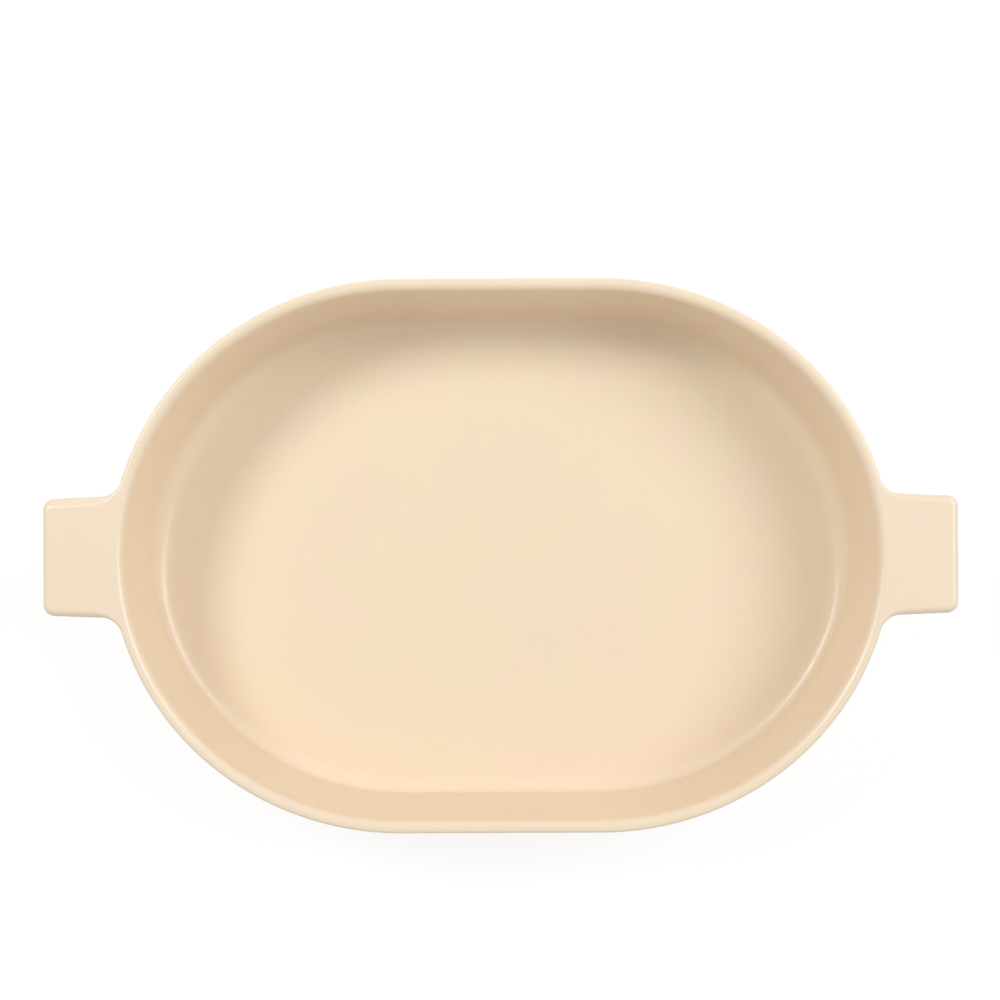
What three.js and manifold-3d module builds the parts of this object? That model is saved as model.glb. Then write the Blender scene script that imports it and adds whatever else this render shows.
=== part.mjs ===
// Oval stoneware baking dish with two flat tab handles.
//
// A floor slab with a bevelled edge, a leaning side wall that stands on the bevel, a rounded rim band
// on the wall, a foot ring under the floor, and a tab handle luted to each end, flush with the rim.
// Millimetres, +Z up. The origin is on the table under the middle of the dish, and +X runs lengthwise
// to the right handle.

import * as THREE from "three";
import { mergeVertices, toCreasedNormals } from "three/addons/utils/BufferGeometryUtils.js";
import Module from "manifold-3d";

// Plan of the rim's outer edge: straight long sides between two half-elliptic ends
const rimLength = 324;
const rimWidth = 230;
const sideStraight = 83;

// Heights, from the table up
const dishHeight = 60;
const footHeight = 2;
const floorThickness = 7;
const rimBandHeight = 8;

// Section of the wall and the rim
const rimThickness = 5;
const wallThickness = 5.6; // at the floor
const wallLean = 3.5; // how far the outer face comes in between the rim and the underside
const rimEdgeRadius = 2.2;
const coveRadius = 3.5; // inside corner of wall and floor
const heelRadius = 7; // outside corner of wall and underside

// Foot ring
const footSetback = 6; // from the end of the heel's curve
const footWidth = 6;
const footEdgeRadius = 0.8;

// Handles
const handleReach = 28; // beyond the end of the rim
const handleWidth = 50;
const handleThickness = 9;
const handleCornerRadius = 4; // outer corners, in plan
const handleEdgeRadius = 3; // top and bottom edges
const handleSideFillet = 9; // in plan, where the sides run into the rim
const handleUnderFillet = 4; // under the handle, against the wall

// Film of slip between a handle and the wall that it is luted to
const slipFilm = 0.3;

// Fineness of the curves
const endSegments = 36; // round one end of the plan
const arcSegments = 4; // in a quarter round of a section
const outlineSegments = 3; // in half of an arc of a handle's outline

// A rounded edge takes up less than half of the thickness that it is on, and less than the whole of
// the corner that it goes round
const largestRounding = 0.45;
const largestCornerRounding = 0.9;

// Sizes worked out from those above
const spineHalf = sideStraight / 2;
const endDepth = rimLength / 2 - spineHalf;
const endHalfWidth = rimWidth / 2;
const undersideZ = footHeight;
const floorZ = footHeight + floorThickness;
const rimJointZ = dishHeight - rimBandHeight;
const rimRounding = Math.min(rimEdgeRadius, largestRounding * rimThickness);
const rimEdgeZ = dishHeight - rimRounding;
const outerLean = Math.atan2(wallLean, rimEdgeZ - undersideZ);
const innerLean = Math.atan2(wallLean + wallThickness - rimThickness, rimEdgeZ - floorZ);
const footRounding = Math.min(footEdgeRadius, largestRounding * footWidth, footHeight / 2);
const handleUnderZ = dishHeight - handleThickness;
const middleOfWall = wallThickness / 2;
const handleRounding = Math.min(
  handleEdgeRadius,
  largestRounding * handleThickness,
  largestCornerRounding * handleCornerRadius,
);

const quarterTurn = Math.PI / 2;

const wasm = await Module();
wasm.setup();

// Directions in which the plan is cut, counter-clockwise: the right end from front to rear, then the left
const planColumns = [1, -1].flatMap((side) =>
  Array.from({ length: endSegments + 1 }, (_, step) => {
    const angle = (Math.PI * step) / endSegments - quarterTurn;
    return { side, cos: side * Math.cos(angle), sin: side * Math.sin(angle) };
  }),
);

// The point of a column that lies a given distance inside the rim's outer edge
function planPoint({ side, cos, sin }, inset) {
  return [side * spineHalf + (endDepth - inset) * cos, (endHalfWidth - inset) * sin];
}

// The solid that a section of (inset, height) points makes when it is carried once round the dish.
// The points run clockwise, with the inset to the right. A section that starts and ends on the spine,
// the line that the plan shrinks to, stays open there, because its two sides meet along that line.
function sweep(section) {
  const rows = section.length;
  const startsOnSpine = section[0].x >= endHalfWidth;
  const strips = startsOnSpine ? rows - 1 : rows;
  const positions = planColumns.flatMap((column) =>
    section.flatMap(({ x: inset, y: height }) => [...planPoint(column, inset), height]),
  );
  const triangles = [];
  for (let column = 0; column < planColumns.length; column++) {
    const nextColumn = (column + 1) % planColumns.length;
    for (let row = 0; row < strips; row++) {
      const nextRow = (row + 1) % rows;
      const here = column * rows + row;
      const beside = nextColumn * rows + row;
      const across = nextColumn * rows + nextRow;
      const above = column * rows + nextRow;
      // Each face is split along the same diagonal from either side, so that two pieces meet exactly
      if (section[row].y < section[nextRow].y) {
        triangles.push([here, beside, across], [here, across, above]);
      } else {
        triangles.push([here, beside, above], [beside, across, above]);
      }
    }
  }
  const geometry = new THREE.BufferGeometry();
  geometry.setAttribute("position", new THREE.Float32BufferAttribute(positions, 3));
  geometry.setIndex(triangles.flat());
  return geometry;
}

// Points of an arc in a section, from one angle to another
function sectionArc(centre, radius, from, to) {
  return Array.from({ length: arcSegments + 1 }, (_, step) => {
    const angle = from + ((to - from) * step) / arcSegments;
    return new THREE.Vector2(
      centre.x + radius * Math.cos(angle),
      centre.y + radius * Math.sin(angle),
    );
  });
}

// Insets of the wall's two leaning faces at a height
function outerInset(height) {
  return (rimEdgeZ - height) * Math.tan(outerLean);
}

function innerInset(height) {
  return rimThickness + (rimEdgeZ - height) * Math.tan(innerLean);
}

// A corner between a leaning face and a level one below it, from the lean down to the level
function footCorner(faceInset, levelZ, radius, lean) {
  const centreZ = levelZ + radius;
  const centre = new THREE.Vector2(faceInset(centreZ) + radius / Math.cos(lean), centreZ);
  return sectionArc(centre, radius, Math.PI + lean, 3 * quarterTurn);
}

const cove = footCorner(innerInset, floorZ, coveRadius, innerLean);
const heel = footCorner(outerInset, undersideZ, heelRadius, outerLean);
const coveToe = cove.at(-1);
const heelToe = heel.at(-1);

// The outer face from a height up to the crest of the rim, moved outwards by a film
function outerFace(fromZ, film = 0) {
  const centre = new THREE.Vector2(rimRounding / Math.cos(outerLean), rimEdgeZ);
  return [
    new THREE.Vector2(outerInset(fromZ) - film / Math.cos(outerLean), fromZ),
    ...sectionArc(centre, rimRounding + film, Math.PI + outerLean, quarterTurn),
  ];
}

// Flat slab whose bevelled edge runs from the inside corner down to the heel
function floorSlab() {
  return sweep([
    new THREE.Vector2(endHalfWidth, undersideZ),
    heelToe,
    coveToe,
    new THREE.Vector2(endHalfWidth, floorZ),
  ]);
}

function sideWall() {
  return sweep([
    ...heel.toReversed(),
    new THREE.Vector2(outerInset(rimJointZ), rimJointZ),
    new THREE.Vector2(innerInset(rimJointZ), rimJointZ),
    ...cove,
  ]);
}

function rimBand() {
  const innerCentre = new THREE.Vector2(rimThickness - rimRounding / Math.cos(innerLean), rimEdgeZ);
  return sweep([
    ...outerFace(rimJointZ),
    ...sectionArc(innerCentre, rimRounding, quarterTurn, innerLean),
    new THREE.Vector2(innerInset(rimJointZ), rimJointZ),
  ]);
}

// Ring with a rounded tread, under the slab
function footRing() {
  const outer = heelToe.x + footSetback;
  const inner = outer + footWidth;
  const outerCentre = new THREE.Vector2(outer + footRounding, footRounding);
  const innerCentre = new THREE.Vector2(inner - footRounding, footRounding);
  return sweep([
    ...sectionArc(outerCentre, footRounding, 3 * quarterTurn, Math.PI),
    new THREE.Vector2(outer, undersideZ),
    new THREE.Vector2(inner, undersideZ),
    ...sectionArc(innerCentre, footRounding, 0, -quarterTurn),
  ]);
}

// Plan of the right handle. Each side ends in a fillet that runs out on the rim, and the plan goes on
// inwards from there, past the rim and far enough for its edge roundings to end inside it.
function handlePlan() {
  const halfWidth = handleWidth / 2;
  const endX = rimLength / 2 + handleReach;
  const cornerX = endX - handleCornerRadius;
  const cornerY = halfWidth - handleCornerRadius;
  const filletY = halfWidth + handleSideFillet;
  const filletAngle = Math.asin(filletY / (endHalfWidth + handleSideFillet));
  const filletX = spineHalf + (endDepth + handleSideFillet) * Math.cos(filletAngle);
  const rootDepth = handleSideFillet + rimThickness + 2 * handleRounding;
  const rootX = filletX - rootDepth * Math.cos(filletAngle);
  const rootY = filletY - rootDepth * Math.sin(filletAngle);
  const plan = new THREE.Shape();
  plan.moveTo(rootX, rootY);
  plan.lineTo(rootX, -rootY);
  plan.absarc(filletX, -filletY, handleSideFillet, Math.PI - filletAngle, quarterTurn, true);
  plan.absarc(cornerX, -cornerY, handleCornerRadius, -quarterTurn, 0, false);
  plan.absarc(cornerX, cornerY, handleCornerRadius, 0, quarterTurn, false);
  plan.absarc(filletX, filletY, handleSideFillet, 3 * quarterTurn, Math.PI + filletAngle, true);
  return plan;
}

// Closed solid of a geometry, for joining and cutting
function toSolid(geometry) {
  const bare = geometry.clone();
  bare.deleteAttribute("normal");
  bare.deleteAttribute("uv");
  const merged = mergeVertices(bare);
  const vertProperties = new Float32Array(merged.attributes.position.array);
  const triVerts = new Uint32Array(merged.index.array);
  return new wasm.Manifold(new wasm.Mesh({ numProp: 3, vertProperties, triVerts }));
}

function toGeometry(solid) {
  const { vertProperties, triVerts, numProp } = solid.getMesh();
  const geometry = new THREE.BufferGeometry();
  geometry.setAttribute("position", new THREE.BufferAttribute(vertProperties, numProp));
  geometry.setIndex(new THREE.BufferAttribute(triVerts, 1));
  return geometry;
}

// Rounded tab, level with the crest of the rim
function handleTab() {
  const tab = new THREE.ExtrudeGeometry(handlePlan(), {
    depth: handleThickness - 2 * handleRounding,
    curveSegments: outlineSegments,
    bevelThickness: handleRounding,
    bevelSize: handleRounding,
    bevelOffset: -handleRounding,
    bevelSegments: arcSegments,
  });
  tab.translate(0, 0, handleUnderZ + handleRounding);
  return toSolid(tab);
}

// Hollow curve between the underside of the tab and the wall, as wide as the underside's flat
function handleGusset() {
  const footZ = handleUnderZ - handleUnderFillet;
  const topZ = handleUnderZ + handleRounding;
  const faceInset = outerInset(footZ);
  const centre = new THREE.Vector2(faceInset - handleUnderFillet, footZ);
  const allRound = sweep([
    new THREE.Vector2(faceInset + middleOfWall, footZ),
    ...sectionArc(centre, handleUnderFillet, 0, quarterTurn),
    new THREE.Vector2(centre.x, topZ),
    new THREE.Vector2(faceInset + middleOfWall, topZ),
  ]);
  const flatWidth = handleWidth - 2 * handleRounding;
  const rightEnd = new THREE.BoxGeometry(rimLength, flatWidth, 2 * dishHeight);
  rightEnd.translate(rimLength / 2, 0, 0);
  return toSolid(allRound).intersect(toSolid(rightEnd));
}

// The right handle: what is left of the tab and its gusset outside the wall, a film of slip away
function handle() {
  const wallAndInside = sweep([
    new THREE.Vector2(endHalfWidth, undersideZ),
    ...outerFace(undersideZ, slipFilm),
    new THREE.Vector2(endHalfWidth, dishHeight + slipFilm),
  ]);
  return toGeometry(handleTab().add(handleGusset()).subtract(toSolid(wallAndInside)));
}

// Satin cream glaze over the clay, and the bare clay of the tread
function glazedStoneware() {
  return new THREE.MeshStandardMaterial({ color: 0xf0dcc0, roughness: 0.5, metalness: 0 });
}

function bareStoneware() {
  return new THREE.MeshStandardMaterial({ color: 0xd8c3a5, roughness: 0.9, metalness: 0 });
}

const bakingDish = new THREE.Group();
const smoothUpTo = Math.PI / 6;

function addPiece(name, geometry, material) {
  const piece = new THREE.Mesh(toCreasedNormals(geometry, smoothUpTo), material);
  piece.name = name;
  bakingDish.add(piece);
  return piece;
}

addPiece("floor_slab", floorSlab(), glazedStoneware());
addPiece("side_wall", sideWall(), glazedStoneware());
addPiece("rim_band", rimBand(), glazedStoneware());
addPiece("foot_ring", footRing(), bareStoneware());
addPiece("right_handle", handle(), glazedStoneware());
addPiece("left_handle", handle(), glazedStoneware()).rotation.z = Math.PI;

export default bakingDish;
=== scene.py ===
"""Looks of an oval stoneware baking dish with two flat tab handles, on a white studio floor.

The dish is glazed cream all over, apart from the bare clay of its foot ring. Each clay element is a
smooth closed mesh that stands for the faceted solid of the same element. Neighbours share their edge
lines and their normals, so that the fired dish shows no seams. Metres, +Z up, +X to the right handle.
"""

import math

import bpy
import numpy as np
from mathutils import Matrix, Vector


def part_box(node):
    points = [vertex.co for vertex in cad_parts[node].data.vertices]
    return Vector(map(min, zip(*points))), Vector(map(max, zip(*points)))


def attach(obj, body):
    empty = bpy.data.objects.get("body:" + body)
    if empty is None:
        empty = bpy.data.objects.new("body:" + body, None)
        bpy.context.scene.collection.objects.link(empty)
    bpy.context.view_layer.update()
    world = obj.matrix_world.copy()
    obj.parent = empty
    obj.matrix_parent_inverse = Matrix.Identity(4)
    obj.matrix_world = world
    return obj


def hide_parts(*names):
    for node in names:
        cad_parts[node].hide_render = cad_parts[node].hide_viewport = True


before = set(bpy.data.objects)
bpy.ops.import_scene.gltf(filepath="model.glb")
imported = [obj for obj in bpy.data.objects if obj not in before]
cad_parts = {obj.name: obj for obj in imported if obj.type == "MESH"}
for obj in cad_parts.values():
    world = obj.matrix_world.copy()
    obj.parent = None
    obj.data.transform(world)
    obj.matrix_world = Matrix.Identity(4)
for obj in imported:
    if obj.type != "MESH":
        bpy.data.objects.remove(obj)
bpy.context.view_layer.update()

MM = 0.001

# Sizes that the solids give
rim_low, rim_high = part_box("rim_band")
floor_low, floor_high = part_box("floor_slab")
_, foot_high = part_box("foot_ring")
_, handle_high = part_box("right_handle")
TOP_Z = rim_high.z
JOINT_Z = rim_low.z
FLOOR_Z = floor_high.z
UNDER_Z = floor_low.z
END_HALF_WIDTH = rim_high.y
HANDLE_END_X = handle_high.x

# Plan of the rim's outer edge: straight long sides between two half-elliptic ends
SPINE_HALF = 41.5 * MM
END_DEPTH = rim_high.x - SPINE_HALF

# Section of the wall and the rim; the inside leans in further on the long sides
RIM_THICKNESS = 5 * MM
RIM_OUTER_RADIUS = 1.4 * MM
RIM_INNER_RADIUS = 3.3 * MM
WALL_THICKNESS = 5.6 * MM
WALL_LEAN = 3.5 * MM
SIDE_LEAN = 1.5 * MM
HEEL_RADIUS = 7 * MM
EDGE_Z = TOP_Z - RIM_OUTER_RADIUS
OUTER_LEAN = math.atan2(WALL_LEAN, EDGE_Z - UNDER_Z)
INNER_LEAN = math.atan2(WALL_LEAN + WALL_THICKNESS - RIM_THICKNESS, EDGE_Z - FLOOR_Z)

# Cove between the floor and the wall; its rise goes over to the rear's in a range of the columns' sines
COVE_RUN = 9 * MM
COVE_RISE = 4.6 * MM
REAR_COVE_RISE = 12 * MM
REAR_RANGE = (-0.35, 0.25)

# Foot ring
FOOT_WIDTH = 6 * MM
FOOT_RADIUS = 0.8 * MM
FOOT_FILLET = 0.6 * MM

# Handles
HANDLE_HALF_WIDTH = 24.4 * MM
HANDLE_TAPER = math.radians(2.2)
HANDLE_THICKNESS = 9 * MM
HANDLE_UNDER_Z = TOP_Z - HANDLE_THICKNESS
HANDLE_CORNER = 4.6 * MM
HANDLE_FILLET = 9 * MM
RIGHT_EDGES = {"front": 3 * MM, "end": 3 * MM, "rear": 2.8 * MM}
LEFT_EDGES = {"front": 3 * MM, "end": 2.6 * MM, "rear": 4.4 * MM}
HANDLE_UNDER_EDGE = 3 * MM
HANDLE_UNDER_FILLET = 4 * MM
FADE_REACH = 10 * MM
ROOT_SHARE = 0.3
ANCHOR_INSET = 2.5 * MM

# Patterns: the noise's usual range and detail, and a bump whose height is in metres
NOISE_RANGE = (0.3, 0.7)
NOISE_DETAIL = 2
BUMP_AS_IT_IS = {"Strength": 1, "Distance": 1}

# Sockets of a Mix node for colours
MIX_SHARE = 0
MIX_FIRST = 6
MIX_SECOND = 7
MIX_RESULT = 2

# Finish of the glaze; colours are linear
GLAZE_YELLOW = (0.864, 0.724, 0.533, 1)
GLAZE_ROSE = (0.864, 0.71, 0.542, 1)
GLAZE_DEEP = (0.82, 0.66, 0.47, 1)
GLAZE_CLOUD = 35 * MM
GLAZE_GRAIN = 0.8 * MM
GLAZE_SWELL = 9 * MM
GLAZE_SHEEN = 6 * MM
GLAZE_ROUGHNESS = (0.29, 0.36)
GLAZE_IOR = 1.6
GRAIN_SHADE = 0.16
GLAZE_PEEL = 1.8 * MM
PEEL_FACING = (0.2, 0.6)
PEEL_DEPTH = 0.07 * MM
SWELL_DEPTH = 0.05 * MM
PINHOLE_COLOUR = (0.30, 0.19, 0.10, 1)
PINHOLE_SPACING = 13 * MM
PINHOLE_RADIUS = 0.3 * MM
PINHOLE_DEPTH = 0.1 * MM

# Finish of the bare clay
CLAY_PALE = (0.72, 0.58, 0.41, 1)
CLAY_DEEP = (0.64, 0.49, 0.33, 1)
CLAY_DARK = (0.48, 0.35, 0.22, 1)
CLAY_CLOUD = 12 * MM
CLAY_SAND = 0.5 * MM
SAND_DETAIL = 4
CLAY_ROUGHNESS = (0.82, 0.95)
SAND_SHADE = 0.5
SAND_DEPTH = 0.12 * MM
GROG_COLOUR = (0.33, 0.22, 0.13, 1)
GROG_SPACING = 2.5 * MM
GROG_RADIUS = 0.35 * MM
GROG_DEPTH = 0.05 * MM

# Studio: softboxes by azimuth from +X and elevation in degrees, width and height, and power in watts
LAMP_DISTANCE = 1.7
LAMP_AIM = (0, 0.12, 0.03)
LAMP_SPREAD = math.radians(70)
LAMPS = {
    "rear_right": (17.5, 47, (1.3, 0.95), 2.48),
    "rear_left": (152.5, 49.5, (0.7, 0.5), 1.75),
}
FILL = 0.485
WHITE = (1, 1, 1, 1)
SWEEP_MIDDLE = 2.4 * MM
SWEEP_RADIUS = 2.4
SWEEP_CURVE = 0.4
SWEEP_HEIGHT = 1.1
SWEEP_SIDES = 96
SWEEP_ALBEDO = 0.65
SWEEP_SHOWN = 0.25
SWEEP_GLOW = 0.8
FLOOR_LIGHT = 0
BACKDROP_LIGHT = 0.31

# Camera, straight above: its height over the rim, the frame's width at the rim, and the framing
CAMERA_RISE = 0.7
FRAME_WIDTH = 0.41394
SENSOR_WIDTH = 36
FRAME_SHIFT = (-0.0009, 0.0557)
CAMERA_TURN = -0.0038

# Fineness of the meshes
PLAN_STEP = math.radians(1.2)
STRAIGHT_STEPS = 14
ARC_STEPS = 12
COVE_STEPS = 20
WALL_STEPS = 14
FLOOR_STEPS = 24
RIM_STEPS = 2
FOOT_STEPS = 2
HANDLE_STEPS = {"fillet": 16, "side": 8, "corner": 10, "end": 16}
TOP_STEPS = 6
SIDE_STEPS = 4
HALVINGS = 60
NEAREST_ROUNDS = 20
WELD = 1e-7

QUARTER = math.pi / 2


# Sections

def arc(centre, radius, start, end, hollow=False):
    """Points (outward, up) and normals of an arc; a hollow one has its normals towards its centre."""
    angles = np.linspace(start, end, ARC_STEPS + 1)
    rays = np.stack([np.cos(angles), np.sin(angles)], axis=1)
    return np.array(centre) + radius * rays, -rays if hollow else rays


def line(start, end, normal, steps=1):
    """Points and normals of a straight run between two points."""
    points = np.linspace(start, end, steps + 1)
    return points, np.tile(np.array(normal, float), (steps + 1, 1))


def outer_face(height):
    """Outward place of the wall's outer face at a height; the rim's outer edge is at nought."""
    return -(EDGE_Z - height) * math.tan(OUTER_LEAN)


def inner_face(height):
    return -RIM_THICKNESS - (EDGE_Z - height) * math.tan(INNER_LEAN)


def sweep_between(run, rise):
    """Cove from the floor up to the wall: a parabola that runs out level and along the wall."""
    corner = np.array([inner_face(FLOOR_Z), FLOOR_Z])
    toe = corner - (run, 0)
    top = np.array([inner_face(FLOOR_Z + rise), FLOOR_Z + rise])
    share = np.linspace(0, 1, COVE_STEPS + 1)[:, None]
    points = (1 - share) ** 2 * toe + 2 * share * (1 - share) * corner + share**2 * top
    along = (1 - share) * (corner - toe) + share * (top - corner)
    normals = np.stack([-along[:, 1], along[:, 0]], axis=1)
    return points, normals / np.linalg.norm(normals, axis=1, keepdims=True)


OUT = (math.cos(OUTER_LEAN), -math.sin(OUTER_LEAN))
IN = (-math.cos(INNER_LEAN), math.sin(INNER_LEAN))
UP = (0, 1)
DOWN = (0, -1)

rim_outer = arc((-RIM_OUTER_RADIUS / OUT[0], EDGE_Z), RIM_OUTER_RADIUS, QUARTER, -OUTER_LEAN)
inner_z = TOP_Z - RIM_INNER_RADIUS
inner_centre = (inner_face(inner_z) - RIM_INNER_RADIUS / IN[0], inner_z)
rim_inner = arc(inner_centre, RIM_INNER_RADIUS, math.pi - INNER_LEAN, QUARTER)
cove = sweep_between(COVE_RUN, COVE_RISE)
rear_cove = sweep_between(COVE_RUN, REAR_COVE_RISE)
heel_z = UNDER_Z + HEEL_RADIUS
heel = arc((outer_face(heel_z) - HEEL_RADIUS / OUT[0], heel_z), HEEL_RADIUS, -OUTER_LEAN, -QUARTER)
outer_joint = (outer_face(JOINT_Z), JOINT_Z)
inner_joint = (inner_face(JOINT_Z), JOINT_Z)
cove_toe = cove[0][0]
heel_toe = heel[0][-1]


def square_to(start, end):
    """Unit normal on the left of a line from start to end."""
    along = np.subtract(end, start)
    return np.array([-along[1], along[0]]) / np.hypot(*along)


# Columns of the plan

def outline(angle):
    """Point of the right end's rim outline, and the unit normal there."""
    point = np.stack([SPINE_HALF + END_DEPTH * np.cos(angle), END_HALF_WIDTH * np.sin(angle)], axis=-1)
    normal = np.stack([END_HALF_WIDTH * np.cos(angle), END_DEPTH * np.sin(angle)], axis=-1)
    return point, normal / np.linalg.norm(normal, axis=-1, keepdims=True)


def root_angle(side, across):
    """Angle of the outline where the fillet of a handle's side runs out.

    The side lies at a distance, side, from the middle along its normal, across.
    """
    low, high = 0.0, QUARTER
    for _ in range(HALVINGS):
        middle = (low + high) / 2
        point, normal = outline(middle)
        if np.dot(across, point + HANDLE_FILLET * normal) < side + HANDLE_FILLET:
            low = middle
        else:
            high = middle
    return low


def nearest_angle(point):
    """Angle of the outline whose normal runs through a point outside it."""
    angle = math.atan2(point[1], point[0] - SPINE_HALF)
    for _ in range(NEAREST_ROUNDS):
        on_rim, normal = outline(angle)
        along = np.array([-END_DEPTH * math.sin(angle), END_HALF_WIDTH * math.cos(angle)])
        angle += np.dot(point - on_rim, along) / np.dot(along, along)
    return angle


def handle_path():
    """Points and outward normals of the right handle's outline, from the front fillet to the rear."""
    across = np.array([math.sin(HANDLE_TAPER), math.cos(HANDLE_TAPER)])
    corner = np.array([HANDLE_END_X - HANDLE_CORNER, HANDLE_HALF_WIDTH - HANDLE_CORNER])
    tangent, away = outline(root_angle(np.dot(across, corner) + HANDLE_CORNER, across))
    fillet = tangent + HANDLE_FILLET * away
    towards_rim = math.atan2(-away[1], -away[0])

    def turn(centre, radius, start, end, steps, hollow):
        angles = np.linspace(start, end, steps + 1)
        rays = np.stack([np.cos(angles), np.sin(angles)], axis=1)
        return centre + radius * rays, -rays if hollow else rays

    def run(start, end, normal, steps):
        return np.linspace(start, end, steps + 1), np.tile(normal, (steps + 1, 1))

    side_end = corner + HANDLE_CORNER * across
    side_start = fillet - HANDLE_FILLET * across
    end_corner = np.array([HANDLE_END_X, corner[1]])
    middle = np.array([HANDLE_END_X, 0.0])
    rear_half = [
        run(middle, end_corner, (1.0, 0.0), HANDLE_STEPS["end"] // 2),
        turn(corner, HANDLE_CORNER, 0, QUARTER - HANDLE_TAPER, HANDLE_STEPS["corner"], False),
        run(side_end, side_start, across, HANDLE_STEPS["side"]),
        turn(fillet, HANDLE_FILLET, -QUARTER - HANDLE_TAPER, towards_rim, HANDLE_STEPS["fillet"], True),
    ]
    points = np.concatenate([part[0][:-1] for part in rear_half] + [rear_half[-1][0][-1:]])
    normals = np.concatenate([part[1][:-1] for part in rear_half] + [rear_half[-1][1][-1:]])
    flip = np.array([1.0, -1.0])
    return (
        np.concatenate([(points * flip)[:0:-1], points]),
        np.concatenate([(normals * flip)[:0:-1], normals]),
    )


def smooth(share):
    share = np.clip(share, 0, 1)
    return share * share * (3 - 2 * share)


path_points, path_normals = handle_path()
path_feet, _ = outline(np.array([nearest_angle(point) for point in path_points]))
handle_reach = np.linalg.norm(path_points - path_feet, axis=1, keepdims=True)
handle_grown = smooth(handle_reach / FADE_REACH)
handle_angles = np.array([nearest_angle(point) for point in path_points - ANCHOR_INSET * path_normals])


def plan_columns():
    """Columns (centre x, cosine, sine) once round the dish, counter-clockwise from the front."""
    root = handle_angles[-1]
    steps = math.ceil((QUARTER - root) / PLAN_STEP)
    rear = np.linspace(root, QUARTER, steps + 1)[1:]
    angles = np.concatenate([-rear[::-1], handle_angles, rear])
    right = np.stack([np.full_like(angles, SPINE_HALF), np.cos(angles), np.sin(angles)], axis=1)
    right[np.abs(right) < WELD] = 0
    inner = np.linspace(SPINE_HALF, -SPINE_HALF, STRAIGHT_STEPS + 1)[1:-1]
    straight = np.stack([inner, np.zeros_like(inner), np.ones_like(inner)], axis=1)
    half = np.concatenate([right, straight])
    return np.concatenate([half, -half])


columns = plan_columns()
rear_from, rear_full = REAR_RANGE
rear_share = smooth((columns[:, 2] - rear_from) / (rear_full - rear_from))[:, None, None]


def side_shift(points):
    """How far the long sides' inside stands further in than the ends', at points of the section."""
    outward, height = points.T
    down = np.clip((EDGE_Z - height) / (EDGE_Z - FLOOR_Z), 0, 1)
    above = np.clip((height - UNDER_Z) / (FLOOR_Z - UNDER_Z), 0, 1)
    inside = np.clip((outer_face(height) - outward) / WALL_THICKNESS, 0, 1)
    from_spine = np.clip((END_HALF_WIDTH + outward) / (END_HALF_WIDTH + cove_toe[0]), 0, 1)
    return SIDE_LEAN * down * above * inside * from_spine


def on_plan(points, normals):
    """Places and normals in space of section points, by column and row."""
    centre, cos, sin = (columns[:, k, None] for k in range(3))
    depth = END_DEPTH + points[None, :, 0]
    width = END_HALF_WIDTH + points[None, :, 0] - side_shift(points)[None, :]
    up = np.broadcast_to(points[None, :, 1], (len(columns), len(points)))
    places = np.stack([centre + depth * cos, width * sin, up], axis=2)
    lift = depth * sin**2 + width * cos**2
    across = normals[None, :, 0]
    facing = np.stack([across * width * cos, across * depth * sin, normals[None, :, 1] * lift], axis=2)
    length = np.linalg.norm(facing, axis=2, keepdims=True)
    level = np.broadcast_to(np.array([0, 0, 1.0]), facing.shape) * np.sign(normals[None, :, 1:2])
    return places, np.where(length > WELD, facing / np.maximum(length, WELD), level)


# Meshes

class Faces:
    """Faces with a normal at each corner, welded where their corners meet."""

    def __init__(self):
        self.corners = []
        self.normals = []

    def grid(self, places, normals, around=False):
        """Adds the faces of a grid; around joins its last column to its first."""
        if around:
            places = np.concatenate([places, places[:1]])
            normals = np.concatenate([normals, normals[:1]])
        here, beyond = slice(None, -1), slice(1, None)
        order = [(here, here), (here, beyond), (beyond, beyond), (beyond, here)]
        self.corners.append(np.stack([places[c] for c in order], axis=2).reshape(-1, 4, 3))
        self.normals.append(np.stack([normals[c] for c in order], axis=2).reshape(-1, 4, 3))

    def piece(self, name, material):
        corners = np.concatenate(self.corners)
        normals = np.concatenate(self.normals).reshape(-1, 3)
        keys = np.round(corners.reshape(-1, 3) / WELD).astype(np.int64)
        _, first, index = np.unique(keys, axis=0, return_index=True, return_inverse=True)
        index = index.reshape(-1, 4)
        faces = []
        loop_normals = []
        for face, ids in enumerate(index):
            kept = [k for k in range(4) if ids[k] != ids[k - 1]]
            if len(kept) > 2 and len(set(ids)) == len(kept):
                faces.append([int(ids[k]) for k in kept])
                loop_normals.extend(normals[4 * face + k] for k in kept)
        mesh = bpy.data.meshes.new(name)
        mesh.from_pydata(corners.reshape(-1, 3)[first], [], faces)
        mesh.polygons.foreach_set("use_smooth", [True] * len(faces))
        mesh.normals_split_custom_set(loop_normals)
        mesh.materials.append(material)
        made = bpy.data.objects.new(name, mesh)
        bpy.context.scene.collection.objects.link(made)
        return made


def swept(name, runs, material, rear_runs=None):
    """A piece whose section's runs are carried once round the dish, and turn into others at its rear."""
    faces = Faces()
    for run, rear_run in zip(runs, rear_runs or runs):
        places, normals = on_plan(*run)
        rear_places, rear_normals = on_plan(*rear_run)
        places = places + (rear_places - places) * rear_share
        normals = normals + (rear_normals - normals) * rear_share
        faces.grid(places, normals / np.linalg.norm(normals, axis=2, keepdims=True), around=True)
    return faces.piece(name, material)


def dress(piece, node):
    """Makes a piece stand for its node, on the dish's one body."""
    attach(piece, "root")
    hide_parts(node)


# Materials

def add_node(tree, kind, inputs=None, **settings):
    """Adds a node; an input, by name or number, is a value or another node's output."""
    made = tree.nodes.new(kind)
    for name, value in settings.items():
        setattr(made, name, value)
    for name, value in (inputs or {}).items():
        if isinstance(value, bpy.types.NodeSocket):
            tree.links.new(value, made.inputs[name])
        else:
            made.inputs[name].default_value = value
    return made


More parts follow.
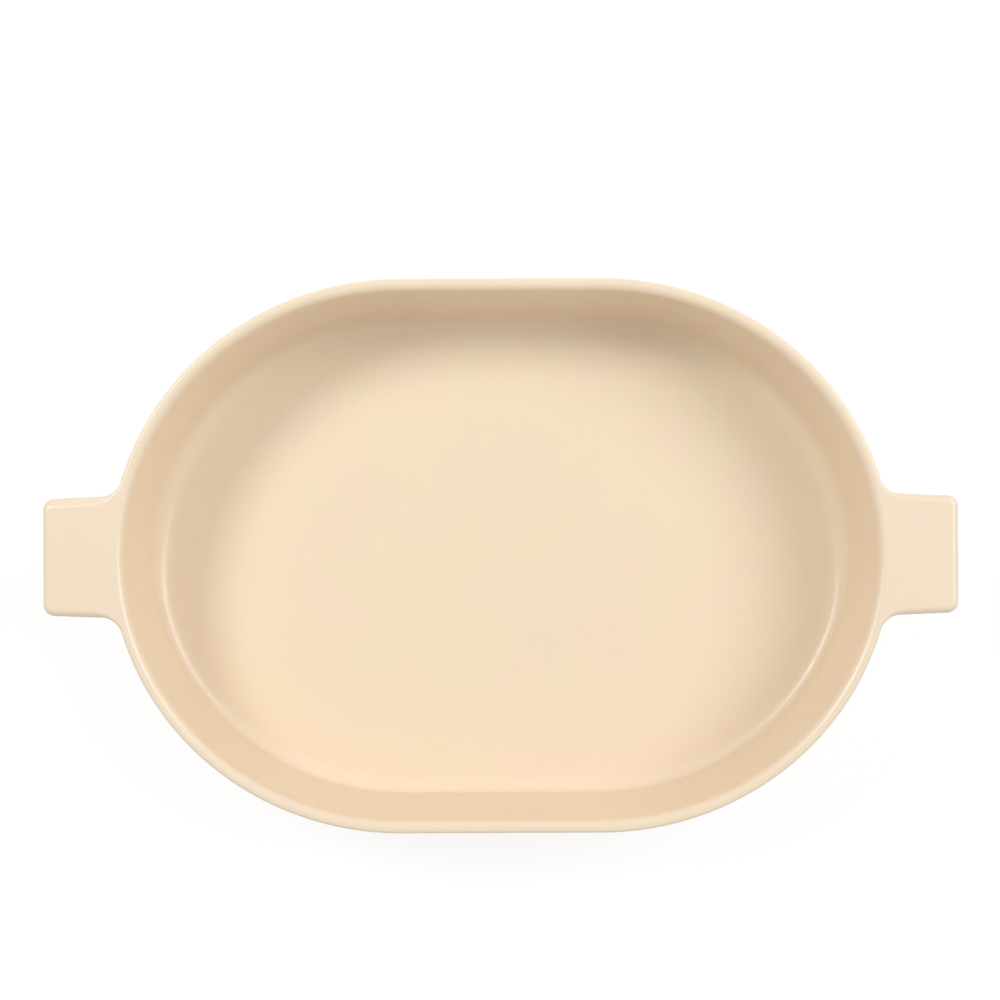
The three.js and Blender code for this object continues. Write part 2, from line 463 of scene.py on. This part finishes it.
class Finish:
    """A material whose patterns lie in the dish's own frame, so that they run on from piece to piece."""

    def __init__(self, name):
        self.material = bpy.data.materials.new(name)
        self.material.use_nodes = True
        self.tree = self.material.node_tree
        self.shader = self.tree.nodes["Principled BSDF"]
        self.place = add_node(self.tree, "ShaderNodeTexCoord").outputs["Object"]

    def noise(self, size, detail=NOISE_DETAIL):
        """Noise, about 0.3 to 0.7, whose blotches are about a size across."""
        inputs = {"Vector": self.place, "Scale": 1 / size, "Detail": detail}
        return add_node(self.tree, "ShaderNodeTexNoise", inputs).outputs["Fac"]

    def specks(self, spacing, radius):
        """One at the middle of scattered round specks, falling to nought at their radius."""
        inputs = {"Vector": self.place, "Scale": 1 / spacing}
        distance = add_node(self.tree, "ShaderNodeTexVoronoi", inputs).outputs["Distance"]
        return self.ramp(distance, 0, radius / spacing, 1, 0)

    def ramp(self, value, from_low, from_high, low, high):
        inputs = {
            "Value": value,
            "From Min": from_low,
            "From Max": from_high,
            "To Min": low,
            "To Max": high,
        }
        made = add_node(self.tree, "ShaderNodeMapRange", inputs, interpolation_type="SMOOTHSTEP")
        return made.outputs["Result"]

    def blend(self, share, first, second):
        inputs = {MIX_SHARE: share, MIX_FIRST: first, MIX_SECOND: second}
        return add_node(self.tree, "ShaderNodeMix", inputs, data_type="RGBA").outputs[MIX_RESULT]

    def facing_up(self):
        """One on level faces that look up, nought on upright ones."""
        normal = add_node(self.tree, "ShaderNodeNewGeometry").outputs["Normal"]
        return add_node(self.tree, "ShaderNodeSeparateXYZ", {"Vector": normal}).outputs["Z"]

    def product(self, first, second):
        made = add_node(self.tree, "ShaderNodeMath", {0: first, 1: second}, operation="MULTIPLY")
        return made.outputs["Value"]

    def total(self, *terms):
        """Sum of value and factor pairs."""
        result = 0.0
        for value, factor in terms:
            inputs = {0: value, 1: factor, 2: result}
            made = add_node(self.tree, "ShaderNodeMath", inputs, operation="MULTIPLY_ADD")
            result = made.outputs["Value"]
        return result

    def set(self, colour, roughness, height):
        """Links the colour, the roughness and a relief in metres to the shader."""
        relief = add_node(self.tree, "ShaderNodeBump", {"Height": height, **BUMP_AS_IT_IS})
        links = self.tree.links
        links.new(colour, self.shader.inputs["Base Color"])
        links.new(roughness, self.shader.inputs["Roughness"])
        links.new(relief.outputs["Normal"], self.shader.inputs["Normal"])


def glaze():
    """Satin cream glaze: cloudy tint, fine grain, a slight peel, and a few pinholes down to the clay."""
    finish = Finish("cream_glaze")
    clouds = finish.ramp(finish.noise(GLAZE_CLOUD), *NOISE_RANGE, 0, 1)
    grain = finish.noise(GLAZE_GRAIN)
    pinholes = finish.specks(PINHOLE_SPACING, PINHOLE_RADIUS)
    tint = finish.blend(clouds, GLAZE_YELLOW, GLAZE_ROSE)
    grained = finish.blend(finish.ramp(grain, *NOISE_RANGE, 0, GRAIN_SHADE), tint, GLAZE_DEEP)
    colour = finish.blend(pinholes, grained, PINHOLE_COLOUR)
    roughness = finish.ramp(finish.noise(GLAZE_SHEEN), *NOISE_RANGE, *GLAZE_ROUGHNESS)
    swell = finish.noise(GLAZE_SWELL)
    peel = finish.product(finish.noise(GLAZE_PEEL), finish.ramp(finish.facing_up(), *PEEL_FACING, 0, 1))
    height = finish.total((peel, PEEL_DEPTH), (swell, SWELL_DEPTH), (pinholes, -PINHOLE_DEPTH))
    finish.set(colour, roughness, height)
    finish.shader.inputs["IOR"].default_value = GLAZE_IOR
    return finish.material


def bare_clay():
    """Unglazed stoneware: tan, with coarse sand, darker grog and a dry surface."""
    finish = Finish("bare_clay")
    clouds = finish.ramp(finish.noise(CLAY_CLOUD), *NOISE_RANGE, 0, 1)
    sand = finish.noise(CLAY_SAND, SAND_DETAIL)
    grog = finish.specks(GROG_SPACING, GROG_RADIUS)
    tint = finish.blend(clouds, CLAY_PALE, CLAY_DEEP)
    sanded = finish.blend(finish.ramp(sand, *NOISE_RANGE, 0, SAND_SHADE), tint, CLAY_DARK)
    colour = finish.blend(grog, sanded, GROG_COLOUR)
    roughness = finish.ramp(sand, *NOISE_RANGE, *CLAY_ROUGHNESS)
    height = finish.total((sand, SAND_DEPTH), (grog, GROG_DEPTH))
    finish.set(colour, roughness, height)
    return finish.material


cream = glaze()
clay = bare_clay()


# Clay elements

def make_rim():
    crest = line(rim_inner[0][-1], rim_outer[0][0], UP)
    return swept("rim_glazed", [
        line(inner_joint, rim_inner[0][0], IN, RIM_STEPS),
        rim_inner,
        crest,
        rim_outer,
        line(rim_outer[0][-1], outer_joint, OUT, RIM_STEPS),
        line(outer_joint, inner_joint, DOWN),
    ], cream)


def make_wall():
    def runs(inside):
        return [
            line(inside[0][-1], inner_joint, IN, WALL_STEPS),
            line(inner_joint, outer_joint, UP),
            line(outer_joint, heel[0][0], OUT, WALL_STEPS),
            heel,
            line(heel_toe, cove_toe, square_to(heel_toe, cove_toe)),
            inside,
        ]

    return swept("wall_glazed", runs(cove), cream, runs(rear_cove))


def make_floor():
    spine = -END_HALF_WIDTH
    return swept("floor_glazed", [
        line((spine, FLOOR_Z), cove_toe, UP, FLOOR_STEPS),
        line(cove_toe, heel_toe, square_to(cove_toe, heel_toe)),
        line(heel_toe, (spine, UNDER_Z), DOWN, FLOOR_STEPS),
    ], cream)


def make_foot():
    outer = foot_high.x - rim_high.x
    inner = outer - FOOT_WIDTH
    inside = inner + FOOT_RADIUS
    outside = outer - FOOT_RADIUS
    flare_z = UNDER_Z - FOOT_FILLET
    outer_flare = arc((outer + FOOT_FILLET, flare_z), FOOT_FILLET, QUARTER, math.pi, True)
    inner_flare = arc((inner - FOOT_FILLET, flare_z), FOOT_FILLET, 0, QUARTER, True)
    outer_edge = arc((outside, FOOT_RADIUS), FOOT_RADIUS, 0, -QUARTER)
    inner_edge = arc((inside, FOOT_RADIUS), FOOT_RADIUS, -QUARTER, -math.pi)
    return swept("foot_ring_bare", [
        line(inner_flare[0][-1], outer_flare[0][0], UP),
        outer_flare,
        line(outer_flare[0][-1], outer_edge[0][0], (1, 0)),
        outer_edge,
        line(outer_edge[0][-1], inner_edge[0][0], DOWN, FOOT_STEPS),
        inner_edge,
        line(inner_edge[0][-1], inner_flare[0][0], (-1, 0)),
        inner_flare,
    ], clay)


def by_handle(outward, height):
    """Points over the right handle's columns, at an outward place and a height of the section."""
    cos, sin = np.cos(handle_angles), np.sin(handle_angles)
    outward = np.broadcast_to(outward, cos.shape)
    height = np.broadcast_to(height, cos.shape)
    x = SPINE_HALF + (END_DEPTH + outward) * cos
    return np.stack([x, (END_HALF_WIDTH + outward) * sin, height], axis=1)


def edge_insets(front, end, rear):
    """Steps in plan from a handle's top to its outline, by column; its edges have radii of their own."""
    side = np.where(path_normals[:, 1:] > 0, rear, front)
    radii = np.hstack([np.full_like(side, end), side])
    return (RIM_OUTER_RADIUS + (radii - RIM_OUTER_RADIUS) * handle_grown) * path_normals


def handle_surface(inset):
    """Rows of the right handle's surface, from the rim's crest out, round the edge and back to the wall.

    Returns places and normals by column and row, and the places on the rim and the wall behind them,
    where the surface runs out at the first and the last column.
    """
    _, square = outline(handle_angles)
    handle_top = path_points - inset
    handle_edge = np.linalg.norm(inset, axis=1, keepdims=True)
    lean = OUTER_LEAN * (1 - handle_grown)
    under_edge = HANDLE_UNDER_EDGE * np.tanh(ROOT_SHARE * handle_reach / HANDLE_UNDER_EDGE)
    under_fillet = HANDLE_UNDER_FILLET * np.tanh(ROOT_SHARE * handle_reach / HANDLE_UNDER_FILLET)
    level = np.zeros_like(path_points)
    places, normals, behind = [], [], []

    def row(plan, height, flat, up, back):
        places.append(np.hstack([plan, np.broadcast_to(height, handle_reach.shape)]))
        normals.append(np.hstack([flat, np.broadcast_to(up, handle_reach.shape)]))
        behind.append(by_handle(*back))

    crest = rim_outer[0][0]
    start = by_handle(*crest)[:, :2]
    for share in np.linspace(0, 1, TOP_STEPS, endpoint=False):
        row(start + (handle_top - start) * share, TOP_Z, level, 1, crest)

    for share, on_edge in zip(np.linspace(0, 1, ARC_STEPS + 1), rim_outer[0]):
        angle = QUARTER - share * (QUARTER + lean)
        flat = np.cos(angle) * path_normals
        height = TOP_Z - handle_edge * (1 - np.sin(angle))
        row(handle_top + np.cos(angle) * inset, height, flat, np.sin(angle), on_edge)

    top = places[-1]
    low_z = HANDLE_UNDER_Z + under_edge * (1 - np.sin(lean))
    drop = top[:, 2:] - low_z
    low = top[:, :2] - drop * np.tan(lean) * path_normals
    edge_z = rim_outer[0][-1][1]
    for share in np.linspace(0, 1, SIDE_STEPS + 1)[1:-1]:
        height = edge_z + (HANDLE_UNDER_Z - edge_z) * share
        back = (outer_face(height), height)
        plan = top[:, :2] + (low - top[:, :2]) * share
        row(plan, top[:, 2:] - drop * share, np.cos(lean) * path_normals, -np.sin(lean), back)

    back = (outer_face(HANDLE_UNDER_Z), HANDLE_UNDER_Z)
    low_inner = low - under_edge * np.cos(lean) * path_normals
    for share in np.linspace(0, 1, ARC_STEPS + 1):
        angle = -lean - share * (QUARTER - lean)
        flat = np.cos(angle) * path_normals
        height = HANDLE_UNDER_Z + under_edge * (1 + np.sin(angle))
        row(low_inner + under_edge * flat, height, flat, np.sin(angle), back)

    fillet_z = HANDLE_UNDER_Z - under_fillet
    wall = by_handle(outer_face(fillet_z[:, 0]), 0)[:, :2]
    fillet = wall + under_fillet / OUT[0] * square
    for share in np.linspace(0, 1, TOP_STEPS + 1)[1:-1]:
        row(low_inner + (fillet - low_inner) * share, HANDLE_UNDER_Z, level, -1, back)
    for share in np.linspace(0, 1, ARC_STEPS + 1):
        angle = QUARTER - share * (QUARTER - OUTER_LEAN)
        flat = math.cos(angle) * square
        height = fillet_z + under_fillet * math.sin(angle)
        row(fillet - under_fillet * flat, height, flat, -math.sin(angle), back)

    places, normals, behind = (np.stack(rows, axis=1) for rows in (places, normals, behind))
    ends = [0, -1]
    places[ends] = behind[ends]
    behind[:, -1] = places[:, -1]
    return places, normals, behind


def make_handle(name, front, end, rear, turned):
    """A handle whose hidden back lies on the rim and the wall; a turned one is on the left."""
    inset = edge_insets(rear, end, front) if turned else edge_insets(front, end, rear)
    places, normals, behind = handle_surface(inset)
    inward = np.zeros_like(behind)
    inward[..., 0] = -1
    half_turn = np.array([-1, -1, 1]) if turned else np.array([1, 1, 1])
    faces = Faces()
    faces.grid(places * half_turn, normals * half_turn)
    faces.grid((behind * half_turn)[:, ::-1], inward * half_turn)
    return faces.piece(name, cream)


dress(make_floor(), "floor_slab")
dress(make_wall(), "side_wall")
dress(make_rim(), "rim_band")
dress(make_foot(), "foot_ring")
right_handle = make_handle("right_handle_glazed", **RIGHT_EDGES, turned=False)
left_handle = make_handle("left_handle_glazed", **LEFT_EDGES, turned=True)
dress(right_handle, "right_handle")
dress(left_handle, "left_handle")


# Studio

def shown_rays(tree):
    """One for the rays that show a background: straight to the camera, mirrored or through glass."""
    path = add_node(tree, "ShaderNodeLightPath").outputs
    shown = path["Is Camera Ray"]
    for kind in ("Is Glossy Ray", "Is Transmission Ray"):
        inputs = {0: shown, 1: path[kind]}
        shown = add_node(tree, "ShaderNodeMath", inputs, operation="MAXIMUM").outputs["Value"]
    return shown


def white_sweep(name, light):
    """White where it shows, with a faint shadow of the dish; to the light, pale and with a glow."""
    material = bpy.data.materials.new(name)
    material.use_nodes = True
    tree = material.node_tree
    tree.nodes.clear()

    def surface(albedo, strength):
        matt = add_node(tree, "ShaderNodeBsdfDiffuse", {"Color": (albedo,) * 3 + (1,)})
        glow = add_node(tree, "ShaderNodeEmission", {"Color": WHITE, "Strength": strength})
        return add_node(tree, "ShaderNodeAddShader", {0: matt.outputs[0], 1: glow.outputs[0]}).outputs[0]

    lit = surface(SWEEP_ALBEDO, light)
    shown = surface(SWEEP_SHOWN, SWEEP_GLOW)
    either = add_node(tree, "ShaderNodeMixShader", {0: shown_rays(tree), 1: lit, 2: shown})
    add_node(tree, "ShaderNodeOutputMaterial", {"Surface": either.outputs[0]})
    return material


def make_sweep():
    """A round floor that curves up into a low backdrop all round."""
    curve = np.linspace(-QUARTER, 0, ARC_STEPS + 1)
    curve_radii = SWEEP_RADIUS + SWEEP_CURVE * np.cos(curve)
    curve_heights = SWEEP_CURVE + SWEEP_CURVE * np.sin(curve)
    radii = [SWEEP_MIDDLE, *curve_radii, SWEEP_RADIUS + SWEEP_CURVE]
    heights = [0, *curve_heights, SWEEP_HEIGHT]
    turns = np.linspace(0, 2 * math.pi, SWEEP_SIDES, endpoint=False)
    places = [(r * math.cos(t), r * math.sin(t), z) for r, z in zip(radii, heights) for t in turns]
    faces = [tuple(range(SWEEP_SIDES))]
    for ring in range(len(radii) - 1):
        for side in range(SWEEP_SIDES):
            beside = (side + 1) % SWEEP_SIDES
            here, above = ring * SWEEP_SIDES, (ring + 1) * SWEEP_SIDES
            faces.append((here + side, above + side, above + beside, here + beside))
    mesh = bpy.data.meshes.new("studio_sweep")
    mesh.from_pydata(places, [], faces)
    mesh.polygons.foreach_set("use_smooth", [True] * len(faces))
    mesh.materials.append(white_sweep("studio_floor", FLOOR_LIGHT))
    mesh.materials.append(white_sweep("studio_backdrop", BACKDROP_LIGHT))
    floor_faces = 1 + SWEEP_SIDES
    mesh.polygons.foreach_set("material_index", [0] * floor_faces + [1] * (len(faces) - floor_faces))
    sweep = bpy.data.objects.new("studio_sweep", mesh)
    bpy.context.scene.collection.objects.link(sweep)


def make_world():
    """Even fill light."""
    world = bpy.data.worlds.new("studio")
    world.use_nodes = True
    fill = world.node_tree.nodes["Background"]
    fill.inputs["Color"].default_value = WHITE
    fill.inputs["Strength"].default_value = FILL
    bpy.context.scene.world = world


def make_lamp(name, azimuth, elevation, size, power):
    """An oval softbox with a grid, which faces the rear of the dish."""
    lamp = bpy.data.objects.new(name, bpy.data.lights.new(name, "AREA"))
    lamp.data.shape = "ELLIPSE"
    lamp.data.size, lamp.data.size_y = size
    lamp.data.spread = LAMP_SPREAD
    lamp.data.energy = power
    azimuth, elevation = math.radians(azimuth), math.radians(elevation)
    level = math.cos(elevation)
    away = Vector((level * math.cos(azimuth), level * math.sin(azimuth), math.sin(elevation)))
    lamp.location = away * LAMP_DISTANCE + Vector(LAMP_AIM)
    lamp.rotation_euler = away.to_track_quat("Z", "Y").to_euler()
    bpy.context.scene.collection.objects.link(lamp)


def make_camera():
    camera = bpy.data.objects.new("camera", bpy.data.cameras.new("camera"))
    camera.location = (0, 0, TOP_Z + CAMERA_RISE)
    camera.rotation_euler = (0, 0, CAMERA_TURN)
    camera.data.sensor_width = SENSOR_WIDTH
    camera.data.lens = SENSOR_WIDTH * CAMERA_RISE / FRAME_WIDTH
    camera.data.shift_x, camera.data.shift_y = FRAME_SHIFT
    bpy.context.scene.collection.objects.link(camera)
    bpy.context.scene.camera = camera


make_sweep()
make_world()
for lamp_name, settings in LAMPS.items():
    make_lamp(lamp_name, *settings)
make_camera()
bpy.context.scene.view_settings.view_transform = "Standard"
